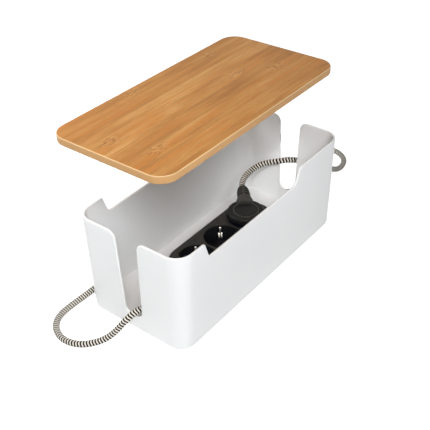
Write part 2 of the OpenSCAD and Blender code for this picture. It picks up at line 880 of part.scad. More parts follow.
// Connector on the coil beyond the far wall
module at_connector() {
    translate(far_coil + far_tail[len(far_tail) - 1]) rotate([0, 0, -90]) children();
}

module link_spots() {
    for (k = [-1, 0, 1])
        translate([link_boot_l + link_l - link_slot[0], k * link_pitch, (k == 0 ? 1 : -1) * link_step / 2])
            children();
}

module connector_body() {
    color("black") at_connector() difference() {
        translate([link_boot_l, 0, 0]) rotate([90, 0, 90])
            linear_extrude(link_l) round_rect(link_w, link_h, link_corner);
        link_spots() translate([link_slot[0], 0, 0])
            cube([2 * link_slot[0], contact_w, contact_h], center = true);
    }
}

module connector_contacts() {
    color("gold") at_connector() link_spots() translate([link_slot[0] / 2 - over, 0, 0]) difference() {
        cube([link_slot[0] - 2 * over, contact_w, contact_h], center = true);
        translate([over, 0, 0]) cube([link_slot[0] - 2 * over, link_slot[1], link_slot[2]], center = true);
    }
}

module connector_boot() {
    color("black") at_connector() rotate([0, 90, 0])
        cylinder(h = link_boot_l, r1 = mains_boot_tip_r, r2 = link_boot_r);
}

box_body();
box_feet();
lid_board();
lid_batten_front();
lid_batten_back();
batten_screws();
strip_base();
strip_cover();
strip_screws();
lead_clamp();
clamp_screws();
strip_boot();
live_bar();
neutral_bar();
earth_bar();
socket_insert_1();
socket_insert_2();
socket_insert_3();
shutter_1();
shutter_2();
shutter_3();
shutter_springs();
plug_body();
plug_cover();
plug_pins();
plug_earth();
plug_boot();
strip_lead();
strip_coil();
strip_coil_tie();
strip_lead_tail();
mains_plug_body();
mains_plug_pins();
mains_plug_earth();
mains_plug_boot();
appliance_lead();
appliance_coil();
appliance_coil_tie();
appliance_lead_tail();
connector_body();
connector_contacts();
connector_boot();
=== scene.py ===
import bpy
import bmesh
import math
import numpy as np
from contextlib import contextmanager
from mathutils import Matrix, Vector


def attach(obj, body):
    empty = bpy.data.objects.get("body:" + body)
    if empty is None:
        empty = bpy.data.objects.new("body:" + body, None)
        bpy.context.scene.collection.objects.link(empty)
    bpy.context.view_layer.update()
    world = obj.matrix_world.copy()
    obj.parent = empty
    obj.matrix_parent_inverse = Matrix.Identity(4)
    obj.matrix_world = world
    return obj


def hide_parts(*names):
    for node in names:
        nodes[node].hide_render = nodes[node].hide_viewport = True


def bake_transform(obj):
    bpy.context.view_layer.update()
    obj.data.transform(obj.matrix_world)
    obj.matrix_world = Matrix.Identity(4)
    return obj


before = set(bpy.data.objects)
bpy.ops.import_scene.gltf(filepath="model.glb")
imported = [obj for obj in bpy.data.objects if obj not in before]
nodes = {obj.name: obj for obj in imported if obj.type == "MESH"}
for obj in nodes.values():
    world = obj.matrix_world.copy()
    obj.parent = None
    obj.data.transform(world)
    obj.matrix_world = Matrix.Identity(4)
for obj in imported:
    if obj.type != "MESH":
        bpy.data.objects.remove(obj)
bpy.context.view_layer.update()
mm = 0.001


def linkObject(name, data):
    obj = bpy.data.objects.new(name, data)
    bpy.context.scene.collection.objects.link(obj)
    return obj


camera = {
    "lens": 65.373,
    "sensor": 36,
    "place": (-0.57423, -0.44456, 0.58143),
    "right": (0.605923, -0.795328, -0.017624),
    "up": (0.469481, 0.339615, 0.815015),
    "back": (-0.642219, -0.502111, 0.579172),
}


def makeCamera():
    data = bpy.data.cameras.new("camera")
    data.lens = camera["lens"]
    data.sensor_width = camera["sensor"]
    obj = linkObject("camera", data)
    turn = Matrix((camera["right"], camera["up"], camera["back"])).transposed().to_4x4()
    obj.matrix_world = Matrix.Translation(camera["place"]) @ turn
    bpy.context.scene.camera = obj


makeCamera()
print("camera set")


# small helpers
def linkMesh(name, verts, faces, smooth=True):
    mesh = bpy.data.meshes.new(name)
    mesh.from_pydata([tuple(v) for v in verts], [], faces)
    mesh.update()
    mesh.polygons.foreach_set("use_smooth", [smooth] * len(mesh.polygons))
    return linkObject(name, mesh)


def loft(name, rings):
    # closed rings with as many vertices each, joined one to the next and capped at both ends
    n = len(rings[0])
    last = (len(rings) - 1) * n
    faces = [(j + i, j + (i + 1) % n, j + n + (i + 1) % n, j + n + i)
             for j in range(0, last, n) for i in range(n)]
    faces += [tuple(reversed(range(n))), tuple(range(last, last + n))]
    return linkMesh(name, [v for ring in rings for v in ring], faces)


@contextmanager
def meshEdit(mesh):
    bm = bmesh.new()
    bm.from_mesh(mesh)
    yield bm
    bm.to_mesh(mesh)
    bm.free()


def outward(obj):
    with meshEdit(obj.data) as bm:
        bmesh.ops.remove_doubles(bm, verts=bm.verts, dist=1e-6)
        bmesh.ops.recalc_face_normals(bm, faces=bm.faces)
    return obj


def sharpen(obj, degrees=35):
    # steeper edges than this stay crisp, the rest is smooth
    with meshEdit(obj.data) as bm:
        for face in bm.faces:
            face.smooth = True
        for edge in bm.edges:
            if len(edge.link_faces) == 2:
                edge.smooth = edge.calc_face_angle(0) < math.radians(degrees)
    return obj


def markPaintedLight(obj, shares):
    # how far each vertex takes its material's painted light tone: painted shade in the boot slots, a painted
    # highlight on the plug's bead
    obj.data.attributes.new("cut", "FLOAT", "POINT").data.foreach_set("value", shares)


def finishPiece(obj, material, body, stands):
    obj.data.materials.clear()
    obj.data.materials.append(material)
    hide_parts(*stands)
    if body:
        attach(obj, body)
    return obj


easing = {"merge": 3e-6, "speck": 1e-6, "flat": math.radians(0.6), "hard": math.radians(28), "segments": 2}


def eased(node, name, width, material, body="box"):
    # the node's own shape with its hard edges rounded off, or only cleaned if the width is 0
    obj = linkObject(name, nodes[node].data.copy())
    with meshEdit(obj.data) as bm:
        bmesh.ops.remove_doubles(bm, verts=bm.verts, dist=easing["merge"])
        bmesh.ops.dissolve_limit(bm, angle_limit=easing["flat"], verts=bm.verts, edges=bm.edges)
        bmesh.ops.dissolve_degenerate(bm, dist=easing["speck"], edges=bm.edges)
        bmesh.ops.delete(bm, geom=[v for v in bm.verts if not v.link_faces], context="VERTS")
        if width:
            hard = [e for e in bm.edges
                    if len(e.link_faces) == 2 and e.calc_face_angle(0) > easing["hard"]]
            bmesh.ops.bevel(bm, geom=hard, offset=width, offset_type="OFFSET", affect="EDGES",
                            segments=easing["segments"], profile=0.5, clamp_overlap=False)
    return finishPiece(sharpen(obj), material, body, (node,))


def smoothStep(low, high, value):
    f = min(1.0, max(0.0, (value - low) / (high - low)))
    return f * f * (3 - 2 * f)


def quarterTurn(steps):
    return [math.pi / 2 * k / steps for k in range(steps + 1)]


# node building blocks
class Graph:
    def __init__(self, tree):
        self.tree = tree

    def node(self, kind, **settings):
        made = self.tree.nodes.new(kind)
        for key, value in settings.items():
            setattr(made, key, value)
        return made

    def join(self, source, target):
        self.tree.links.new(source, target)

    def feed(self, value, socket):
        if isinstance(value, (int, float)):
            socket.default_value = value
        elif isinstance(value, tuple):
            socket.default_value = (*value, 1) if len(socket.default_value) == 4 else value
        elif value is not None:
            self.join(value, socket)

    def fill(self, node, inputs):
        for name, value in inputs.items():
            self.feed(value, node.inputs[name])

    def wired(self, kind, inputs, output, **settings):
        # a node with its inputs fed, known by the one output that is used
        made = self.node(kind, **settings)
        self.fill(made, inputs)
        return made.outputs[output]

    def math(self, kind, a, b=None, c=None):
        return self.wired("ShaderNodeMath", {0: a, 1: b, 2: c}, 0, operation=kind)

    def pack(self, x, y, z=0.0):
        return self.wired("ShaderNodeCombineXYZ", {"X": x, "Y": y, "Z": z}, "Vector")


class Look(Graph):
    def __init__(self, name):
        self.material = bpy.data.materials.new(name)
        self.material.use_nodes = True
        super().__init__(self.material.node_tree)
        self.shader = self.tree.nodes["Principled BSDF"]

    def mapped(self, vector, scale, shift):
        return self.wired("ShaderNodeMapping", {
            "Vector": vector, "Scale": scale, "Location": shift}, "Vector")

    def coords(self, scale=(1, 1, 1), shift=(0, 0, 0), uv=None):
        made = self.node("ShaderNodeUVMap", uv_map=uv) if uv else self.node("ShaderNodeTexCoord")
        return self.mapped(made.outputs["UV" if uv else "Object"], scale, shift)

    def split(self, vector):
        made = self.node("ShaderNodeSeparateXYZ")
        self.join(vector, made.inputs["Vector"])
        return [made.outputs[axis] for axis in "XYZ"]

    def length(self, vector):
        return self.wired("ShaderNodeVectorMath", {0: vector}, "Value", operation="LENGTH")

    def noise(self, vector, scale, detail=3.0, roughness=0.5):
        return self.wired("ShaderNodeTexNoise", {
            "Vector": vector, "Scale": scale, "Detail": detail, "Roughness": roughness}, "Fac")

    def chance(self, number):
        return self.wired("ShaderNodeTexWhiteNoise", {"W": number}, "Value", noise_dimensions="1D")

    def span(self, fac, start, end, toStart=0.0, toEnd=1.0):
        return self.wired("ShaderNodeMapRange", {
            "Value": fac, "From Min": start, "From Max": end, "To Min": toStart, "To Max": toEnd},
            "Result", interpolation_type="SMOOTHSTEP")

    def ramp(self, fac, stops):
        made = self.node("ShaderNodeValToRGB")
        steps = made.color_ramp.elements
        steps[0].position, steps[0].color = stops[0][0], (*stops[0][1], 1)
        steps[1].position, steps[1].color = stops[-1][0], (*stops[-1][1], 1)
        for place, colour in stops[1:-1]:
            steps.new(place).color = (*colour, 1)
        self.join(fac, made.inputs["Fac"])
        return made.outputs["Color"]

    def mix(self, fac, a, b):
        return self.wired("ShaderNodeMix", {0: fac, 6: a, 7: b}, 2, data_type="RGBA")

    def shade(self, inputs):
        self.fill(self.shader, inputs)

    def finished(self, base, fine, rough, relief, gloss, raised=None):
        # fine drives the roughness, and the relief too unless it has a pattern of its own
        strength, distance = relief
        bump = self.wired("ShaderNodeBump", {
            "Strength": strength, "Distance": distance, "Height": raised or fine}, "Normal")
        self.shade({"Base Color": base, "Roughness": self.span(fine, 0.2, 0.8, *rough),
                    "Specular IOR Level": gloss, "Normal": bump})
        return self.material


def moulded(name, low, high, rough, gloss=0.3, grain=1400.0, relief=0.12, waves=(40.0, 3.0), paintedLightTone=None,
            paintedShadeBelow=None):
    # moulded plastic or rubber: slow change of tone, fine grain in gloss and relief, a painted light tone
    # where the mesh is marked (shade in the boot slots, a highlight on the plug's bead), and a painted shade
    # where it lies deeper than a level
    look = Look(name)
    fine = look.noise(look.coords(), grain, 2.0)
    base = look.ramp(look.noise(look.coords(), *waves), [(0.3, low), (0.7, high)])
    # painted light: the marked tone is a painted shade in the boot slots and a painted highlight on the
    # plug's bead
    if paintedLightTone:
        cut = look.node("ShaderNodeAttribute", attribute_name="cut").outputs["Fac"]
        base = look.mix(look.span(cut, 0.1, 0.8), base, paintedLightTone)
    # painted shade: below a level, as in the sockets' wells, the surface is darker
    if paintedShadeBelow:
        above, below, tone = paintedShadeBelow
        base = look.mix(look.span(look.split(look.coords())[2], above, below), base, tone)
    return look.finished(base, fine, rough, (relief, 0.0002), gloss)


def drawnMetal(name, low, high, rough):
    look = Look(name)
    brushed = look.noise(look.coords(scale=(1, 1, 0.05)), 700.0, 3.0)
    look.shade({"Base Color": look.ramp(brushed, [(0.3, low), (0.7, high)]),
                "Roughness": look.span(brushed, 0.2, 0.8, *rough), "Metallic": 1.0})
    return look.material


white = moulded("trayPlastic", (0.898, 0.91, 0.918), (0.920, 0.93, 0.934), (0.38, 0.48), 0.4, 900.0, 0.08,
                waves=(9.0, 2.0))
# the well walls below the strip's top get a painted shade, a darker blue-black
stripBlack = moulded("stripPlastic", (0.016, 0.0155, 0.013), (0.022, 0.021, 0.018), (0.42, 0.58),
                     paintedShadeBelow=(43.3 * mm, 42.5 * mm, (0.0030, 0.0036, 0.0048)))
# painted shade: a darker blue-black for the socket inserts at the bottom of the wells, standing in for their
# shade
paintedShadeBlack = moulded("wellPlasticPaintedShade", (0.002, 0.0026, 0.004), (0.004, 0.0048, 0.007), (0.45, 0.60), 0.14)
# the bead on the plug's cover gets a lighter tone, a painted highlight
coverBlack = moulded("plugCoverPlastic", (0.007, 0.007, 0.007), (0.010, 0.010, 0.009), (0.42, 0.55), 0.20,
                     paintedLightTone=(0.052, 0.050, 0.044))
skirtBlue = moulded("plugSkirtPlastic", (0.002, 0.0025, 0.007), (0.003, 0.004, 0.010), (0.30, 0.42), 0.14)
# the boot slots get a near-black tone, a painted shade
vinyl = moulded("softVinyl", (0.032, 0.032, 0.028), (0.042, 0.041, 0.037), (0.50, 0.62), 0.25,
                paintedLightTone=(0.0008, 0.0008, 0.0008))
rubberGrey = moulded("footRubber", (0.040, 0.040, 0.042), (0.060, 0.060, 0.062), (0.70, 0.90))
acetal = moulded("shutterPlastic", (0.020, 0.019, 0.018), (0.030, 0.028, 0.026), (0.30, 0.40))
steel = drawnMetal("screwSteel", (0.50, 0.50, 0.50), (0.66, 0.66, 0.65), (0.25, 0.40))
nickel = drawnMetal("nickelContact", (0.72, 0.69, 0.61), (0.90, 0.87, 0.78), (0.30, 0.44))
brass = drawnMetal("contactBrass", (0.62, 0.46, 0.20), (0.78, 0.60, 0.30), (0.22, 0.36))

# the leads come first: each stretch of a route is counted from the place that it names, in millimetres
lead = {
    "diameter": 7.6 * mm, "pathStep": 2.4 * mm, "perSpan": 24, "knotPower": 0.6, "sides": 24,
    # after easeFrom of a turn the coil changes to its next column or layer
    "coilRadius": 40 * mm, "coilLift": 0.8 * mm, "perTurn": 24, "easeFrom": 0.8,
    # a row of yarn swings by zigShare of a row; beyond fineRun the rows are flat, out of sight
    "zigs": 3, "zigShare": 0.33, "relief": 0.35 * mm, "fineStep": 0.375 * mm, "coarseStep": 1.5 * mm,
    "fineRun": 420 * mm, "fade": 30 * mm,
}
tray = {"length": 300 * mm, "width": 140 * mm, "height": 124 * mm, "foot": 1.5 * mm, "floorTop": 4.5 * mm}
strip = {"middle": Vector((-6.4, -11, 4.5)) * mm, "length": 162 * mm, "baseHeight": 12 * mm, "pitch": 46 * mm,
         "earthTurn": math.radians(45)}
plug = {"middle": strip["middle"] + Vector((strip["pitch"], 0, 0)), "bootTurn": math.radians(41),
        "bootHeight": 51 * mm, "bootReach": 44 * mm}

bootWay = Vector((math.cos(plug["bootTurn"]), math.sin(plug["bootTurn"]), 0))
bootEnd = plug["middle"] + bootWay * plug["bootReach"] + Vector((0, 0, plug["bootHeight"]))
stripEnd = strip["middle"] + Vector((-strip["length"] / 2, 0, strip["baseHeight"]))
farWall = Vector((tray["length"] / 2, 0, 0))
nearWall = -farWall
backLeft = Vector((-tray["length"] / 2, tray["width"] / 2, 0))
backRight = Vector((tray["length"] / 2, tray["width"] / 2, 0))
farCoil = backRight + Vector((53, 54, 0)) * mm
backCoil = backLeft + Vector((248, 54, 0)) * mm

insideFromPlug = [
    (0.3, 0.26, 0), (8.9, 7, 0), (20.6, 12, 0.4), (33.4, 13.6, 1.5), (46, 11.9, 3.3), (57.6, 5.5, 5.8)]
beyondFarWall = [
    (-10, 12.5, 63), (1, 4, 62.5), (16, -5, 57.5), (34, -10, 48), (52, -13, 37), (70, -15, 24.5),
    (90, -16.5, 11), (110, -16, 4.2), (129, -10, 3.8), (141, 4, 3.8), (143.6, 13, 3.8), (143, 22, 3.8),
    (134, 38, 3.8), (117, 46, 3.8), (99, 43, 3.8), (85, 31, 3.8), (71, 17, 3.8), (56, 6, 3.8), (38, 1, 3.8),
    (20, 6, 3.8), (9, 20, 3.8), (6, 38, 3.8)]
toFarCoil = [(6, -10, 3.8), (7, 12, 3.8), (8, 32, 4.2)]
insideFromStrip = [(14, 0, 0), (7, 0, 0), (0, 0, 0), (-10, 0, 0.2), (-21, 0.1, 2.2), (-32.1, 1.3, 5.7)]
beyondNearWall = [
    (19.5, -6.8, 25.2), (10.4, -4.2, 26.4), (2.6, -1.7, 25.7), (-4.4, 0.3, 23.2), (-10.8, 2.9, 18.8),
    (-16.8, 5.8, 13.4), (-23.2, 8.8, 8.7), (-31.4, 13, 5.3), (-41.5, 20, 3.9), (-49.6, 28.1, 3.8),
    (-54.5, 38.5, 3.8), (-55.5, 49.9, 3.8), (-52.5, 60.9, 3.8)]
toBackCoil = [
    (-45.9, 0.3, 3.8), (-36.5, 6.9, 3.8), (-22.6, 10, 3.8), *((x, 10, 3.8) for x in range(2, 213, 30)),
    (230, 10.1, 4.2)]
backTail = [(12, -40, 13.2), (25, -39.5, 15.5), (39, -36.7, 18.5), (50.8, -28.8, 21.5), (58.7, -17, 24.5),
            (61.5, -3, 27.5), (58.7, 11, 30.3), (50.8, 22.8, 32.6), (39, 30.7, 34.1), (25, 33.5, 34.5)]
farTail = [(-35.5, 20, 14), (-22, 34, 18), (-5, 39.5, 22.5), (13, 36, 25.5), (26, 24, 26), (30, 9, 26)]


def fromPlace(place, stretch):
    return [place + Vector(p) * mm for p in stretch]


def coilTurns(middle, startAngle, way):
    # two columns and two layers: out low, in low, in high, out high
    d, radius, lift = lead["diameter"], lead["coilRadius"], lead["coilLift"]
    outer, inner = radius + d / 2, radius - d / 2
    low, high = lift + d / 2, lift + 1.5 * d
    turns = [(outer, low), (inner, low), (inner, high), (outer, high), (radius, high)]
    points = []
    for t, ((r0, z0), (r1, z1)) in enumerate(zip(turns, turns[1:])):
        for k in range(lead["perTurn"]):
            f = k / lead["perTurn"]
            ease = smoothStep(lead["easeFrom"], 1, f)
            r = r0 + (r1 - r0) * ease
            a = startAngle + way * 2 * math.pi * (t + f)
            points.append(middle + Vector((r * math.cos(a), r * math.sin(a), z0 + (z1 - z0) * ease)))
    points.append(middle + Vector((radius * math.cos(startAngle), radius * math.sin(startAngle), high)))
    return points


def splineThrough(points):
    # natural cubic spline through the points, as many short steps and the run along them
    p = np.array([tuple(q) for q in points])
    chords = np.linalg.norm(np.diff(p, axis=0), axis=1)
    h = np.diff(np.concatenate(([0], np.cumsum(chords ** lead["knotPower"]))))
    n = len(p)
    a = np.eye(n)
    b = np.zeros((n, 3))
    for i in range(1, n - 1):
        a[i, i - 1], a[i, i], a[i, i + 1] = h[i - 1], 2 * (h[i - 1] + h[i]), h[i]
        b[i] = 6 * ((p[i + 1] - p[i]) / h[i] - (p[i] - p[i - 1]) / h[i - 1])
    m = np.linalg.solve(a, b)
    fine = []
    for i in range(n - 1):
        for u in np.linspace(0, 1, lead["perSpan"], endpoint=False):
            x = u * h[i]
            y = h[i] - x
            fine.append((m[i] * y ** 3 + m[i + 1] * x ** 3) / (6 * h[i])
                        + (p[i] / h[i] - m[i] * h[i] / 6) * y + (p[i + 1] / h[i] - m[i + 1] * h[i] / 6) * x)
    fine.append(p[-1])
    fine = np.array(fine)
    return fine, np.concatenate(([0], np.cumsum(np.linalg.norm(np.diff(fine, axis=0), axis=1))))


def alongSpline(fine, run, places):
    return np.stack([np.interp(places, run, fine[:, k]) for k in range(3)], axis=1)


def evenSteps(start, end, step):
    return np.linspace(start, end, max(2, int(round((end - start) / step))) + 1)


def makeTube(name, fine, run, pitch):
    # a closed tube, its UV map in rows along and turns round, its surface raised yarn by yarn; a row is one
    # light and one dark yarn
    sides = lead["sides"]
    change = lead["fineRun"]
    places = np.concatenate((evenSteps(0, change, lead["fineStep"])[:-1],
                             evenSteps(change, run[-1], lead["coarseStep"])))
    path = alongSpline(fine, run, places)
    ahead = np.gradient(path, places, axis=0)
    ahead /= np.linalg.norm(ahead, axis=1)[:, None]
    across = np.zeros_like(path)
    side = np.cross(ahead[0], (0, 0, 1.0))
    for i, way in enumerate(ahead):
        side = side - way * side.dot(way)
        side /= np.linalg.norm(side)
        across[i] = side
    up = np.cross(across, ahead)
    turns = np.arange(sides) / sides
    zig = np.abs(((turns * lead["zigs"] * 2 - 1) / 2 % 1) * 2 - 1)
    row = places[:, None] / pitch + lead["zigShare"] * zig[None, :]
    dome = 0.5 - 0.5 * np.cos(2 * math.pi * row)
    raised = np.clip((change - places) / lead["fade"], 0, 1)[:, None]
    radius = lead["diameter"] / 2 - lead["relief"] * (1 - dome) * raised
    angle = 2 * math.pi * turns
    spokes = np.cos(angle)[None, :, None] * across[:, None, :] + np.sin(angle)[None, :, None] * up[:, None, :]
    verts = (path[:, None, :] + radius[:, :, None] * spokes).reshape(-1, 3)
    n = len(path)
    i, k = np.meshgrid(np.arange(n - 1), np.arange(sides), indexing="ij")
    m = (k + 1) % sides
    quads = np.stack((i * sides + k, (i + 1) * sides + k, (i + 1) * sides + m, i * sides + m), axis=-1)
    faces = quads.reshape(-1, 4).tolist()
    faces += [list(range(sides)), [(n - 1) * sides + k for k in reversed(range(sides))]]
    obj = linkMesh(name, verts.tolist(), faces)
    u = places / pitch
    corner = np.stack((u[i], u[i + 1], u[i + 1], u[i]), axis=-1)
    turn = np.stack((k / sides, k / sides, (k + 1) / sides, (k + 1) / sides), axis=-1)
    body = np.stack((corner, turn), axis=-1).reshape(-1)
    caps = [x for end in (0.0, u[-1]) for s in range(sides) for x in (end, s / sides)]
    layer = obj.data.uv_layers.new(name="braid")
    layer.data.foreach_set("uv", np.concatenate((body, caps)))
    return obj


def braidMaterial():
    # zigzag rows of black and off-white yarn
    look = Look("braidedLead")
    along, around, _ = look.split(look.coords(uv="braid"))
    zig = look.math("PINGPONG", look.math("MULTIPLY", around, lead["zigs"] * 2.0), 1.0)
    row = look.math("MULTIPLY_ADD", zig, lead["zigShare"], along)
    bright = look.math("PINGPONG", look.math("MULTIPLY", look.math("FRACT", row), 2.0), 1.0)
    yarn = look.noise(look.coords(scale=(2.7, 14, 1), uv="braid"), 1.0, 3.0)
    strand = look.noise(look.coords(scale=(12, 40, 1), uv="braid"), 1.0, 2.0)
    tone = look.math("MULTIPLY_ADD", look.math("SUBTRACT", yarn, 0.5), 0.30, bright)
    light = look.ramp(yarn, [(0.3, (0.74, 0.68, 0.60)), (0.7, (0.88, 0.84, 0.77))])
    dark = look.ramp(yarn, [(0.3, (0.004, 0.003, 0.003)), (0.7, (0.010, 0.008, 0.007))])
    look.shade({"Sheen Weight": 0.1})
    base = look.mix(look.span(tone, 0.52, 0.62), dark, light)
    return look.finished(base, yarn, (0.75, 0.92), (0.5, 0.0002), 0.25, strand)


braid = braidMaterial()


def makeLead(name, points, pitch, stands):
    fine, run = splineThrough(points)
    obj = makeTube(name, fine, run, pitch)
    finishPiece(obj, braid, None, stands)
    return obj, alongSpline(fine, run, evenSteps(0, run[-1], lead["pathStep"])), float(run[-1])


applianceLead, appliancePath, applianceLength = makeLead(
    "appliance_lead_braided",
    fromPlace(bootEnd, insideFromPlug) + fromPlace(farWall, beyondFarWall) + fromPlace(backRight, toFarCoil)
    + coilTurns(farCoil, math.pi, -1) + fromPlace(farCoil, farTail),
    3.9 * mm, ("appliance_lead", "appliance_coil", "appliance_lead_tail"))
stripLead, stripPath, stripLength = makeLead(
    "strip_lead_braided",
    fromPlace(stripEnd, insideFromStrip) + fromPlace(nearWall, beyondNearWall)
    + fromPlace(backLeft, toBackCoil) + coilTurns(backCoil, -math.pi / 2, 1) + fromPlace(backCoil, backTail),
    3.0 * mm, ("strip_lead", "strip_coil", "strip_lead_tail"))
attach(stripLead, "box")
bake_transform(applianceLead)
print("leads laid", round(applianceLength, 3), round(stripLength, 3))


# straps round the coils
def fabricBlack():
    # hook-and-loop: a nap of tiny loops
    look = Look("tieFabric")
    nap = look.noise(look.coords(), 2200.0, 2.0, 0.7)
    base = look.ramp(nap, [(0.35, (0.006, 0.006, 0.007)), (0.65, (0.026, 0.026, 0.028))])
    return look.finished(base, nap, (0.85, 1.0), (0.9, 0.0004), 0.15)


strap = {
    "width": 12, "thick": 0.8, "edge": 0.15, "halfWidth": 8.2, "halfHeight": 7.6, "corner": 3.8,
    "cornerSteps": 8, "lap": 9, "lapPoints": 6, "topSteps": (1.5, 3.0), "ramp": 6, "lift": 0.05,
    "leastStep": 0.05,
}


def strapLine():
    # the inner line of the strap round the bundle, from the top's middle, with its outward ways
    half, high, r = strap["halfWidth"], strap["halfHeight"], strap["corner"]
    line = [(Vector((0, high)), Vector((0, 1)))]
    for w, (x, y) in enumerate(((1, 1), (1, -1), (-1, -1), (-1, 1))):
        middle = Vector((x * (half - r), y * (high - r)))
        for turn in quarterTurn(strap["cornerSteps"]):
            a = math.pi / 2 - w * math.pi / 2 - turn
            way = Vector((math.cos(a), math.sin(a)))
            line.append((middle + way * r, way))
    line.append((Vector((0, high)), Vector((0, 1))))
    return line


def strapAround(name, node, middle, turn):
    line = strapLine()
    reach = [0.0]
    for (a, _), (b, _) in zip(line, line[1:]):
        reach.append(reach[-1] + (b - a).length)
    whole = reach[-1]
    # the end goes on over the start
    for x in (*strap["topSteps"], strap["halfWidth"] - strap["corner"]):
        line.append((Vector((x, strap["halfHeight"])), Vector((0, 1))))
        reach.append(whole + x)
    for k in range(1, strap["lapPoints"] + 1):
        line.append(line[k])
        reach.append(whole + reach[k])
    w, t, e = strap["width"] / 2, strap["thick"], strap["edge"]
    section = [(-w, e), (e - w, 0), (w - e, 0), (w, e), (w, t - e), (w - e, t), (e - w, t), (-w, t - e)]
    out = Vector((math.cos(turn), math.sin(turn), 0))
    side = Vector((-math.sin(turn), math.cos(turn), 0))
    base = middle + out * lead["coilRadius"] + Vector((0, 0, lead["coilLift"] + lead["diameter"]))
    shown = [i for i in range(len(line)) if reach[i] <= whole + strap["lap"]]
    shown = [i for n, i in enumerate(shown) if n == 0 or reach[i] - reach[shown[n - 1]] > strap["leastStep"]]
    rings = []
    for i in shown:
        place, way = line[i]
        raised = (t + strap["lift"]) * smoothStep(whole - strap["ramp"], whole, reach[i])
        inPlane = [(place + way * (thick + raised), along) for along, thick in section]
        rings.append([base + (out * q.x + Vector((0, 0, q.y)) + side * along) * mm for q, along in inPlane])
    return finishPiece(sharpen(outward(loft(name, rings)), 50), tieFabric, "box", (node,))


tieFabric = fabricBlack()
stripTie = strapAround("strip_coil_strap", "strip_coil_tie", backCoil, math.pi)
applianceTie = strapAround("appliance_coil_strap", "appliance_coil_tie", farCoil, -math.pi / 2)
print("straps made")

# boots with slots on both sides: stations are (place along, half width, half height), or (place, radius)
# where round, slots are (place, depth) and a bend is (place, rise)
boots = {
    "sides": 32, "step": 0.3, "slotEase": 0.3, "flank": (0.14, 0.32), "crease": 42,
    "plug_boot": {
        "stations": [(12, 9.6, 3.4), (16, 10.4, 3.9), (18.5, 9.8, 5.0), (20.5, 9.0, 6.2), (23, 8.3, 7.0),
                     (26, 8.0, 7.4), (33, 7.8, 7.4), (38, 7.3, 7.0), (41, 6.6, 6.4), (43, 5.8, 5.7),
                     (44.1, 5.1), (44.7, 4.6), (45, 4.1)],
        "slots": [(39.6, 2.2), (34.6, 2.8), (29.6, 2.8), (24.6, 2.6)], "slotWidth": 2.3},
    "strip_boot": {
        "stations": [(-5, 6.9), (-3.1, 6.9), (-3.0, 5.4), (0.1, 5.4), (0.2, 6.6),
                     (0.9, 7.0), (10, 6.2), (17, 5.5), (19, 5.2), (19.7, 4.8),
                     (20, 4.4)],
        "slots": [(4.6, 1.2), (8.6, 1.2), (12.4, 1.1), (16.0, 0.9)], "slotWidth": 1.5,
        "bend": [(4, 0), (8, 0.1), (10, 0.25), (14, 0.8), (18, 1.6), (20, 2.05)]},
    "mains_plug_boot": {
        "stations": [(-0.6, 4.2), (0, 4.8), (1, 5.1), (6, 5.5), (13, 6.2),
                     (20.2, 7.0)],
        "slots": [(4, 0.9), (7.6, 1.1), (11.2, 1.2), (14.8, 1.2)], "slotWidth": 1.5},
    "connector_boot": {
        "stations": [(-0.6, 4.2), (0, 4.8), (1, 5.1), (6, 5.5), (13, 6.0),
                     (20.2, 6.5)],
        "slots": [(4, 0.9), (7.6, 1.0), (11.2, 1.1), (14.8, 1.1)], "slotWidth": 1.5},
}


def ribbedBoot(node, place, way, body="box"):
    shape, sides, ease = boots[node], boots["sides"], boots["slotEase"]
    stations, half = shape["stations"], shape["slotWidth"] / 2
    bend = shape.get("bend", [(0, 0), (1, 0)])
    way = Vector(way).normalized()
    side = Vector((0, 0, 1)).cross(way)
    at = evenSteps(stations[0][0], stations[-1][0], boots["step"])
    marks = [s[0] for s in stations]
    wide = np.interp(at, marks, [s[1] for s in stations])
    high = np.interp(at, marks, [s[-1] for s in stations])
    lift = np.interp(at, [b[0] for b in bend], [b[1] for b in bend])
    rings, slotShade = [], []
    for x, w, h, up in zip(at, wide, high, lift):
        depth = sum(d * (1 - smoothStep(half - ease, half + ease, abs(x - p))) for p, d in shape["slots"])
        ring = []
        for k in range(sides):
            a = 2 * math.pi * k / sides
            flank = smoothStep(*boots["flank"], abs(math.cos(a)))
            r = 1 - depth * flank / w
            # how deep the slot is there sets its painted shade
            slotShade.append(min(1.0, depth * flank))
            ring.append(place + (way * x + side * (w * math.cos(a) * r)
                                 + Vector((0, 0, up + h * math.sin(a) * r))) * mm)
        rings.append(ring)
    obj = loft(f"{node}_ribbed", rings)
    markPaintedLight(obj, slotShade)
    return finishPiece(sharpen(outward(obj), boots["crease"]), vinyl, body, (node,))


ribbedBoot("plug_boot", plug["middle"] + Vector((0, 0, plug["bootHeight"])), bootWay, "angled_plug")
ribbedBoot("strip_boot", stripEnd, (-1, 0, 0))
mainsBoot = ribbedBoot("mains_plug_boot", backCoil + Vector(backTail[-1]) * mm, (-1, 0, 0))
linkBoot = ribbedBoot("connector_boot", farCoil + Vector(farTail[-1]) * mm, (0, -1, 0))
print("boots made")

mainsPlug = eased("mains_plug_body", "mains_plug_soft", 0.8 * mm, coverBlack)
linkBody = eased("connector_body", "connector_soft", 0.8 * mm, coverBlack)

# the tray: columns round the outline, rings from the underside up, over the rim and down inside
shell = {
    # each side is narrower by the draft at the foot
    "wall": 3, "corner": 20, "draft": 2.5, "edge": 4, "innerEdge": 1.0, "rimRound": 1.35, "notchDepth": 20,
    "arcSteps": 12, "cornerSteps": 20, "rows": 10, "rimSteps": 6, "edgeSteps": 6,
    "notch": {"near": -104, "nearTop": -111, "far": 53, "farTop": 59.5, "radii": (3.5, 5, 10, 6)},
    "slot": {"topWidth": 29, "footWidth": 22.5, "footHeight": 21, "radii": (9.5, 9, 9, 9.5)},
}


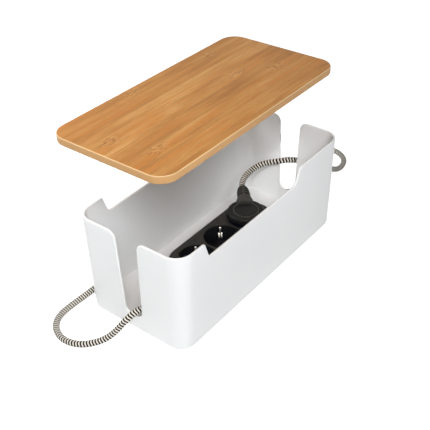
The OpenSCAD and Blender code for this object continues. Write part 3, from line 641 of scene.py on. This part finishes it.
def softLine(points, radii):
    # an open line whose inner corners are arcs
    steps = shell["arcSteps"]
    made = [Vector(points[0])]
    for i in range(1, len(points) - 1):
        p, a, b = Vector(points[i]), Vector(points[i - 1]), Vector(points[i + 1])
        u, v = (a - p).normalized(), (b - p).normalized()
        half = u.angle(v) / 2
        r = radii[i - 1]
        reach = r / math.tan(half)
        middle = p + (u + v).normalized() * (r / math.sin(half))
        first, last = p + u * reach - middle, p + v * reach - middle
        sweep = math.atan2(first.x * last.y - first.y * last.x, first.dot(last))
        made += [middle + Matrix.Rotation(sweep * k / steps, 2) @ first for k in range(steps + 1)]
    made.append(Vector(points[-1]))
    return made


def trayShell():
    top, foot = tray["height"] / mm, tray["foot"] / mm
    low = top - shell["notchDepth"]
    corner, wall, edge, inner, r = (shell[k] for k in ("corner", "wall", "edge", "innerEdge", "rimRound"))
    half, side = tray["length"] / mm / 2 - corner, tray["width"] / mm / 2 - corner
    notch, slot = shell["notch"], shell["slot"]
    longWall = softLine([(-half, top), (notch["nearTop"], top), (notch["near"], low), (notch["far"], low),
                         (notch["farTop"], top), (half, top)], notch["radii"])
    slotTop, slotFoot, slotLow = slot["topWidth"] / 2, slot["footWidth"] / 2, slot["footHeight"]
    endWall = softLine([(-side, top), (-slotTop, top), (-slotFoot, slotLow), (slotFoot, slotLow),
                        (slotTop, top), (side, top)], slot["radii"])
    backWall = [Vector((-p.x, p.y)) for p in reversed(longWall)]
    outs = [Vector((0, -1)), Vector((1, 0)), Vector((0, 1)), Vector((-1, 0))]

    # a column is its wall, its place along the wall or its corner's angle, its rim height and the rim's
    # upward way
    columns = []
    for w, line in enumerate((longWall, endWall, backWall, endWall)):
        for i, p in enumerate(line):
            go = (line[min(i + 1, len(line) - 1)] - line[max(i - 1, 0)]).normalized()
            columns.append((w, p.x, None, p.y, Vector((-go.y, go.x))))
        for k in range(1, shell["cornerSteps"]):
            angle = (w - 1 + k / shell["cornerSteps"]) * math.pi / 2
            columns.append((w, None, angle, top, Vector((0, 1))))

    def place(column, shift, z, depth):
        # shift runs along the wall, depth goes into it
        w, u, angle = column[:3]
        inward = shell["draft"] * (top - z) / (top - foot) + depth
        if angle is None:
            along = Vector((-outs[w].y, outs[w].x))
            reach = (side if w % 2 == 0 else half) + corner
            q = along * (u + shift) + outs[w] * (reach - inward)
        else:
            middle = Vector((half if w in (0, 1) else -half, side if w in (1, 2) else -side))
            q = middle + Vector((math.cos(angle), math.sin(angle))) * (corner - inward)
        return q.x * mm, q.y * mm, z * mm

    def wallRing(f, base, depth):
        # from the level base up to where the rim's rounding starts
        return [place(c, -r * c[4].x * f, base + (c[3] - r * c[4].y - base) * f, depth) for c in columns]

    rows, quarter = shell["rows"], quarterTurn(shell["edgeSteps"])
    rings = [[place(c, 0, foot + edge * (1 - math.cos(a)), edge * (1 - math.sin(a))) for c in columns]
             for a in quarter]
    rings += [wallRing(k / rows, foot + edge, 0) for k in range(1, rows + 1)]
    for k in range(1, 2 * shell["rimSteps"]):
        a = math.pi / 2 * k / shell["rimSteps"]
        out, depth = r * (math.sin(a) - 1), r * (1 - math.cos(a))
        if k > shell["rimSteps"]:
            depth = wall - r * (1 + math.cos(a))
        elif k == shell["rimSteps"]:
            rings.append([place(c, 0, c[3], r) for c in columns])
            depth = wall - r
        rings.append([place(c, c[4].x * out, c[3] + c[4].y * out, depth) for c in columns])
    zIn = tray["floorTop"] / mm + inner
    rings += [wallRing(k / rows, zIn, wall) for k in range(rows, -1, -1)]
    rings += [[place(c, 0, zIn - inner * math.sin(a), wall + inner * (1 - math.cos(a))) for c in columns]
              for a in quarter[1:]]
    return loft("tray_shell", rings)


finishPiece(trayShell(), white, "box", ("box_body",))
print("tray made")

# the lid board
lid = {
    "length": 300, "width": 148, "thick": 8.5, "corner": 20, "edge": 1.0, "rest": Vector((0, 17, 203)),
    "inset": 6, "cornerSteps": 18, "edgeSteps": 5,
}


def lidBoard():
    radius, edge, thick = lid["corner"], lid["edge"], lid["thick"]
    outline = []
    for w, (x, y) in enumerate(((1, -1), (1, 1), (-1, 1), (-1, -1))):
        middle = Vector((x * (lid["length"] / 2 - radius), y * (lid["width"] / 2 - radius), 0))
        for k in range(lid["cornerSteps"] + 1):
            a = (w - 1 + k / lid["cornerSteps"]) * math.pi / 2
            outline.append((middle, Vector((math.cos(a), math.sin(a), 0))))
    quarter = quarterTurn(lid["edgeSteps"])
    levels = [(-lid["inset"], 0)] + [(-edge * (1 - math.sin(a)), edge * (1 - math.cos(a))) for a in quarter]
    levels += [(-edge * (1 - math.cos(a)), thick - edge * (1 - math.sin(a))) for a in quarter]
    levels.append((-lid["inset"], thick))
    return loft("lid_bamboo", [[(m + v * (radius + out) + Vector((0, 0, z)) + lid["rest"]) * mm
                                for m, v in outline] for out, z in levels])


wood = {
    "plank": 20.6, "plankFrom": 500.0, "plankShift": 90.0,
    "knuckles": [(85.2, 58.8), (64.2, 2.2), (103.5, -22.7), (-55.5, 73.2), (-37.4, 67.2), (-125.2, 13),
                 (-110.1, -33)],
    "knuckleReach": (18, 9), "knuckleFade": (1.1, 0.35), "easedFrom": (7.5, 7.9),
    # patterns, in millimetres: scale along the board, scale across it, detail, roughness
    "cloud": (0.011, 0.040, 2.0, 0.5),
    "streak": (0.010, 0.16, 4.0, 0.6),
    "fibre": (0.035, 1.5, 4.0, 0.7),
    "dash": (0.085, 1.9, 2.0, 0.5),
    "warm": (0.006, 0.13, 3.0, 0.6),
    "short": (0.20, 0.95, 2.0, 0.5),
    # how much fibre, streak, plank and cloud add to the tone, and the tones from dark to light
    "shares": (0.26, 0.52, 0.18, 0.46),
    "tones": [(0.48, (0.295, 0.112, 0.022)), (0.63, (0.415, 0.178, 0.039)), (0.75, (0.50, 0.235, 0.062)),
              (0.91, (0.60, 0.315, 0.100))],
    # tones laid over the board: where its pattern or height makes them start and be full, share, tone
    "warmOver": (0.52, 0.64, 0.55, (0.50, 0.175, 0.028)),
    "dashOver": (0.58, 0.68, 0.44, (0.20, 0.072, 0.017)),
    "knuckleLight": (0.54, 0.42, 0.50, (0.60, 0.32, 0.105)),
    "knuckleDark": (0.50, 0.62, 0.60, (0.17, 0.058, 0.013)),
    "jointOver": (0.478, 0.492, 0.34, (0.24, 0.098, 0.026)),
    "sideOver": (8.49, 8.42, 0.80, (0.64, 0.37, 0.155)),
    # the cream band along the eased top edge is a painted highlight
    "paintedEdgeHighlight": (8.48, 8.40, 0.60, (0.82, 0.62, 0.36)),
}


def bambooMaterial():
    # wide glued strips of slightly differing tone, fine fibres and short dark dashes along them, and knuckles
    look = Look("bambooBoard")
    at = look.coords(scale=(1000, 1000, 1000), shift=tuple(-v for v in lid["rest"]))
    x, y, z = look.split(at)
    place = look.math("DIVIDE", look.math("ADD", y, wood["plankFrom"]), wood["plank"])
    plank = look.chance(look.math("FLOOR", place))
    shift = look.math("MULTIPLY", plank, wood["plankShift"])

    def pattern(name):
        along, across, detail, roughness = wood[name]
        where = look.pack(look.math("MULTIPLY_ADD", x, along, shift), look.math("MULTIPLY", y, across), shift)
        return look.noise(where, 1.0, detail, roughness)

    fibre, tone = pattern("fibre"), 0.0
    for part, share in zip((fibre, pattern("streak"), plank, pattern("cloud")), wood["shares"]):
        tone = look.math("MULTIPLY_ADD", part, share, tone)
    base = look.ramp(tone, wood["tones"])
    near = None
    long, wide = wood["knuckleReach"]
    for kx, ky in wood["knuckles"]:
        reach = look.length(look.mapped(at, (1 / long, 1 / wide, 0), (-kx / long, -ky / wide, 0)))
        near = look.math("MINIMUM", near, reach) if near else reach
    knuckle = look.span(near, *wood["knuckleFade"])
    short = pattern("short")
    joint = look.math("ABSOLUTE", look.math("SUBTRACT", look.math("FRACT", place), 0.5))
    # laid on in turn, each within the third; the sides are cleaner wood, and the eased edge gets a cream
    # painted highlight
    layers = [("warmOver", pattern("warm"), 1.0), ("dashOver", pattern("dash"), 1.0),
              ("knuckleLight", short, knuckle), ("knuckleDark", short, knuckle), ("jointOver", joint, 1.0),
              ("sideOver", z, 1.0), ("paintedEdgeHighlight", z, look.span(z, *wood["easedFrom"]))]
    for name, source, within in layers:
        start, full, share, tone = wood[name]
        fac = look.math("MULTIPLY", look.span(source, start, full), share)
        base = look.mix(look.math("MULTIPLY", fac, within), base, tone)
    return look.finished(base, fibre, (0.44, 0.58), (0.10, 0.0003), 0.3)


bamboo = bambooMaterial()
finishPiece(lidBoard(), bamboo, "lid", ("lid_board",))
for where in ("front", "back"):
    eased(f"lid_batten_{where}", f"batten_{where}_soft", 0.8 * mm, bamboo, "lid")
eased("batten_screws", "batten_screws_clean", 0, steel, "lid")
print("lid made")


# what repeats: copies of an object's own mesh, row by row and turn by turn
def copiesTree():
    tree = bpy.data.node_groups.new("copiesInTurn", "GeometryNodeTree")
    sockets = {"Geometry": "NodeSocketGeometry", "Count": "NodeSocketInt", "Each row": "NodeSocketInt",
               "Pitch": "NodeSocketFloat", "First turn": "NodeSocketFloat", "Turn": "NodeSocketFloat",
               "Place": "NodeSocketVector"}
    for name, kind in sockets.items():
        tree.interface.new_socket(name, in_out="INPUT", socket_type=kind)
    tree.interface.new_socket("Geometry", in_out="OUTPUT", socket_type="NodeSocketGeometry")

    graph = Graph(tree)
    given = graph.node("NodeGroupInput").outputs
    index = graph.node("GeometryNodeInputIndex").outputs["Index"]
    points = graph.wired("GeometryNodeMeshLine", {
        "Count": given["Count"], "Start Location": given["Place"], "Offset": (0, 0, 0)}, "Mesh")
    row = graph.math("FLOOR", graph.math("DIVIDE", index, given["Each row"]))
    away = graph.pack(graph.math("MULTIPLY", row, given["Pitch"]), 0.0)
    moved = graph.wired("GeometryNodeSetPosition", {"Geometry": points, "Offset": away}, "Geometry")
    turn = graph.math("ADD", graph.math("MULTIPLY", index, given["Turn"]), given["First turn"])
    rotation = graph.wired("FunctionNodeEulerToRotation", {0: graph.pack(0.0, 0.0, turn)}, 0)
    placed = graph.wired("GeometryNodeInstanceOnPoints", {
        "Points": moved, "Instance": given["Geometry"], "Rotation": rotation}, "Instances")
    real = graph.wired("GeometryNodeRealizeInstances", {"Geometry": placed}, "Geometry")
    graph.join(real, graph.node("NodeGroupOutput").inputs["Geometry"])
    return tree


copies = copiesTree()


def repeated(obj, values):
    modifier = obj.modifiers.new("copies", "NODES")
    modifier.node_group = copies
    for item in copies.interface.items_tree:
        if item.in_out == "INPUT" and item.name in values:
            modifier[item.identifier] = values[item.name]
    # the modifier's result as a plain mesh
    bpy.context.view_layer.update()
    ready = obj.evaluated_get(bpy.context.evaluated_depsgraph_get())
    mesh = bpy.data.meshes.new_from_object(ready)
    obj.modifiers.clear()
    obj.data = mesh
    return obj


# the angled plug: a turned cover with a ring, ribs round its edge, and the skirt below; the edges and ditches
# are (radius, height) from the place that they belong to
cover = {
    "radius": 22.0, "foot": 48, "top": 55, "round": 2.6, "arcSteps": 8, "segments": 96,
    "footEdge": [(-0.7, 0), (-0.2, 0.2), (0, 0.7)],
    "bead": 14.6, "beadHalf": 0.75, "beadRise": 0.75, "beadFoot": 0.3, "beadMargin": 0.02,
    "outerDitch": [(0.7, 0), (0.3, -0.25), (0, -0.3)],
    "innerDitch": [(0, -0.6), (-0.3, -0.7), (-0.9, -0.5)],
    "dish": 8, "dishDepth": 0.42,
    "ribs": 30, "ribPlace": (21.5, 0, 50.8), "ribSize": (1.2, 1.2, 2.3), "ribSides": 8,
}


def lathe(name, profile, place, segments):
    # profile is (radius, height) from the axis out and back to the axis
    inner = profile[1:-1]
    verts = [place + Vector((0, 0, profile[0][1])) * mm, place + Vector((0, 0, profile[-1][1])) * mm]
    for radius, z in inner:
        for k in range(segments):
            a = 2 * math.pi * k / segments
            verts.append(place + Vector((radius * math.cos(a), radius * math.sin(a), z)) * mm)
    last = 2 + (len(inner) - 1) * segments
    faces = []
    for k in range(segments):
        m = (k + 1) % segments
        faces.append((0, 2 + m, 2 + k))
        faces.append((1, last + k, last + m))
        for j in range(len(inner) - 1):
            a, b = 2 + j * segments, 2 + (j + 1) * segments
            faces.append((a + k, a + m, b + m, b + k))
    return sharpen(outward(linkMesh(name, verts, faces)), 40)


def coverProfile():
    r, foot, z, e = cover["radius"], cover["foot"], cover["top"], cover["round"]
    m, w, steps = cover["bead"], cover["beadHalf"], cover["arcSteps"]
    line = [(0, foot)] + [(r + x, foot + y) for x, y in cover["footEdge"]]
    line += [(r - e * (1 - math.cos(a)), z - e * (1 - math.sin(a))) for a in quarterTurn(steps)]
    line += [(m + w + x, z + y) for x, y in cover["outerDitch"]]
    line += [(m + w * math.cos(a), z - cover["beadFoot"] + cover["beadRise"] * math.sin(a))
             for a in (math.pi * k / steps for k in range(1, steps))]
    line += [(m - w + x, z + y) for x, y in cover["innerDitch"]]
    return line + [(x, z - cover["dishDepth"]) for x in (cover["dish"], 0)]


plugAxis = plug["middle"].xy.to_3d()
plugCover = lathe("plug_cover_turned", coverProfile(), plugAxis, cover["segments"])
onBead, beadFoot = cover["beadHalf"] - cover["beadMargin"], (cover["top"] - cover["beadFoot"]) * mm
# the bead's top is marked for its painted highlight
markPaintedLight(plugCover, [
    float(abs((v.co - plugAxis).xy.length / mm - cover["bead"]) < onBead and v.co.z > beadFoot)
    for v in plugCover.data.vertices])
finishPiece(plugCover, coverBlack, "angled_plug", ("plug_cover",))


def gripRib():
    # one upright rib, rounded all over, at the cover's edge
    obj = linkMesh("plug_grip_ribs", [], [])
    sides, size = cover["ribSides"], Vector(cover["ribSize"]) * mm
    shape = Matrix.Translation(Vector(cover["ribPlace"]) * mm) @ Matrix.Diagonal(size).to_4x4()
    with meshEdit(obj.data) as bm:
        bmesh.ops.create_uvsphere(bm, u_segments=sides, v_segments=sides, radius=1, matrix=shape)
        for face in bm.faces:
            face.smooth = True
    return obj


ribs = repeated(gripRib(), {
    "Count": cover["ribs"], "Each row": cover["ribs"], "Pitch": 0.0, "First turn": 0.0,
    "Turn": 2 * math.pi / cover["ribs"], "Place": tuple(plugAxis)})
finishPiece(ribs, coverBlack, "angled_plug", ("plug_cover",))
eased("plug_body", "plug_skirt_soft", 0.4 * mm, skirtBlue, "angled_plug")
print("plug made")

# earth clips: a folded slip of metal with two sprung prongs, six times over, on the bar they rise from;
# a prong's point is (shift inward, share of the bulge, height)
clip = {
    "thick": 0.8, "edge": 0.12, "cut": 26.0, "root": 20.85,
    "tabHalf": 1.3,
    "tab": [(20.9, 32.4), (20.9, 34.4), (20.2, 35.6), (19.7, 37.2), (19.9, 38.8), (20.6, 40.6), (21.0, 41.6)],
    "prongHalf": 1.0, "prongOut": 1.5,
    "prong": [(0, 0, 24.5), (0.1, 0, 25.8), (0, 0.7, 26.9), (0, 1, 28.3), (0, 0.8, 29.8), (0, 0.25, 31.6),
              (0, 0, 33.4)],
    "bridgeHalf": 2.5, "bridges": [(32.2, 33.8), (24.5, 26.0)],
}


def slip(bm, line, middle, half):
    # a bent strip: the line is (radius, height), the strip lies middle ± half across it
    rings = []
    for i, (r, z) in enumerate(line):
        a, b = line[max(i - 1, 0)], line[min(i + 1, len(line) - 1)]
        go = Vector((b[0] - a[0], b[1] - a[1])).normalized()
        across = Vector((go.y, -go.x)) * (clip["thick"] / 2)
        rings.append([bm.verts.new(Vector((r + s * across.x, middle + t * half, z + s * across.y)) * mm)
                      for s, t in ((-1, -1), (1, -1), (1, 1), (-1, 1))])
    for a, b in zip(rings, rings[1:]):
        for k in range(4):
            bm.faces.new((a[k], a[(k + 1) % 4], b[(k + 1) % 4], b[k]))
    bm.faces.new(rings[0][::-1])
    bm.faces.new(rings[-1])


def clipSet(name, bulge, wells, first):
    # clips of some neighbouring wells, their prongs sprung inward by the bulge
    obj, root = linkMesh(name, [], []), clip["root"]
    prong = [(root - shift - share * bulge, z) for shift, share, z in clip["prong"]]
    with meshEdit(obj.data) as bm:
        for way in (-1, 1):
            slip(bm, prong, way * clip["prongOut"], clip["prongHalf"])
        slip(bm, clip["tab"], 0, clip["tabHalf"])
        for low, high in clip["bridges"]:
            slip(bm, [(root, low), (root, high)], 0, clip["bridgeHalf"])
        bmesh.ops.recalc_face_normals(bm, faces=bm.faces)
        hard = [e for e in bm.edges if e.calc_face_angle(0) > math.radians(60)]
        bmesh.ops.bevel(bm, geom=hard, offset=clip["edge"] * mm, segments=1, profile=0.5, affect="EDGES")
    made = repeated(sharpen(obj, 50), {
        "Count": 2 * wells, "Each row": 2, "Pitch": strip["pitch"], "First turn": strip["earthTurn"],
        "Turn": math.pi, "Place": (strip["middle"].x + first * strip["pitch"], strip["middle"].y, 0.0)})
    return finishPiece(made, nickel, "box", ("earth_bar",))


clipSet("earth_clips_free", 2.9, 2, -1)
clipSet("earth_clips_pressed", 0.6, 1, 1)


def lowBar():
    # the earth bar up to where its clips begin
    obj = linkObject("earth_bar_low", nodes["earth_bar"].data.copy())
    with meshEdit(obj.data) as bm:
        bmesh.ops.remove_doubles(bm, verts=bm.verts, dist=easing["merge"])
        cut = bmesh.ops.bisect_plane(bm, geom=bm.verts[:] + bm.edges[:] + bm.faces[:], dist=easing["speck"],
                                     plane_co=(0, 0, clip["cut"] * mm), plane_no=(0, 0, 1), clear_outer=True)
        rim = [g for g in cut["geom_cut"] if isinstance(g, bmesh.types.BMEdge)]
        bmesh.ops.holes_fill(bm, edges=rim, sides=0)
        bmesh.ops.recalc_face_normals(bm, faces=bm.faces)
    return finishPiece(sharpen(obj), nickel, "box", ("earth_bar",))


lowBar()
print("earth clips made")

# softened copies of what shows, finishes for the rest
eased("strip_base", "strip_base_soft", 0.6 * mm, stripBlack)
eased("strip_cover", "strip_cover_soft", 0.4 * mm, stripBlack)
# the socket inserts take the painted shade black
for number in (1, 2, 3):
    eased(f"socket_insert_{number}", f"socket_insert_{number}_soft", 0.2 * mm, paintedShadeBlack)
finishes = [
    (rubberGrey, ("box_feet",)), (steel, ("strip_screws", "clamp_screws", "shutter_springs")),
    (acetal, ("lead_clamp", "shutter_1", "shutter_2", "shutter_3")),
    (brass, ("live_bar", "neutral_bar", "connector_contacts")),
    (nickel, ("plug_pins", "plug_earth", "mains_plug_pins", "mains_plug_earth")),
]
for material, names in finishes:
    for name in names:
        nodes[name].data.materials.clear()
        nodes[name].data.materials.append(material)
print("finishes given")

# stage and light; beyond the lamps' reach the floor glows by itself up to full white
studio = {"floorSize": 8.0, "floorGlow": 0.80, "floorTone": 0.85, "sky": 0.04, "farFrom": 0.6, "farTo": 1.8}


def seenDirectly(graph):
    # 1 for rays that look at the stage, straight, in a mirror or through glass
    path = graph.node("ShaderNodeLightPath").outputs
    seen = graph.math("MAXIMUM", path["Is Camera Ray"], path["Is Glossy Ray"])
    return graph.math("MAXIMUM", seen, path["Is Transmission Ray"])


def makeFloor():
    half, tone = studio["floorSize"] / 2, studio["floorTone"]
    floor = linkMesh("studio_floor", [(-half, -half, 0), (half, -half, 0), (half, half, 0), (-half, half, 0)],
                     [(0, 1, 2, 3)], smooth=False)
    look = Look("studioFloor")
    away = look.length(look.coords())
    glow = look.span(away, studio["farFrom"], studio["farTo"], studio["floorGlow"], 1.0)
    shown = look.math("MULTIPLY", seenDirectly(look), glow)
    look.shade({"Base Color": (tone, tone, tone), "Roughness": 0.9, "Specular IOR Level": 0.0,
                "Emission Color": (1, 1, 1), "Emission Strength": shown})
    floor.data.materials.append(look.material)


def makeWorld():
    world = bpy.data.worlds.new("studio")
    bpy.context.scene.world = world
    world.use_nodes = True
    world.node_tree.nodes.clear()
    graph = Graph(world.node_tree)
    lit, seen = (graph.wired("ShaderNodeBackground", {"Color": (1, 1, 1), "Strength": strength}, 0)
                 for strength in (studio["sky"], 1.0))
    mixed = graph.wired("ShaderNodeMixShader", {0: seenDirectly(graph), 1: lit, 2: seen}, 0)
    graph.join(mixed, graph.node("ShaderNodeOutputWorld").inputs["Surface"])


def lamp(name, kind, azimuth, elevation, distance, power, target, **settings):
    data = bpy.data.lights.new(name, kind)
    data.energy = power
    for key, value in settings.items():
        setattr(data, key, value)
    obj = linkObject(name, data)
    a, e = math.radians(azimuth), math.radians(elevation)
    way = Vector((math.cos(e) * math.cos(a), math.cos(e) * math.sin(a), math.sin(e)))
    obj.location = Vector(target) + way * distance
    obj.rotation_euler = (-way).to_track_quat("-Z", "Y").to_euler()


makeFloor()
makeWorld()
lamp("key", "AREA", 227, 45, 1.6, 21.0, (0, 0, 0.08), shape="DISK", size=0.9)
lamp("behind", "AREA", 105, 45, 0.6, 2.7, (-0.15, -0.02, 0.2), shape="DISK", size=0.4)
# narrow beams that reach in between the lid and the rim
beam = {"spot_blend": 1.0, "shadow_soft_size": 0.05}
lamp("farWallInside", "SPOT", 205, 35, 1.6, 36.0, (0.146, 0.008, 0.035), spot_size=math.radians(4.2),
     color=(0.96, 0.98, 1.0), **beam)
lamp("nearBackInside", "SPOT", 265, 34, 1.2, 15.0, (-0.10, 0.067, 0.095), spot_size=math.radians(6.0),
     color=(0.84, 0.93, 1.0), **beam)
bpy.context.scene.view_settings.view_transform = "Standard"
print("stage lit")
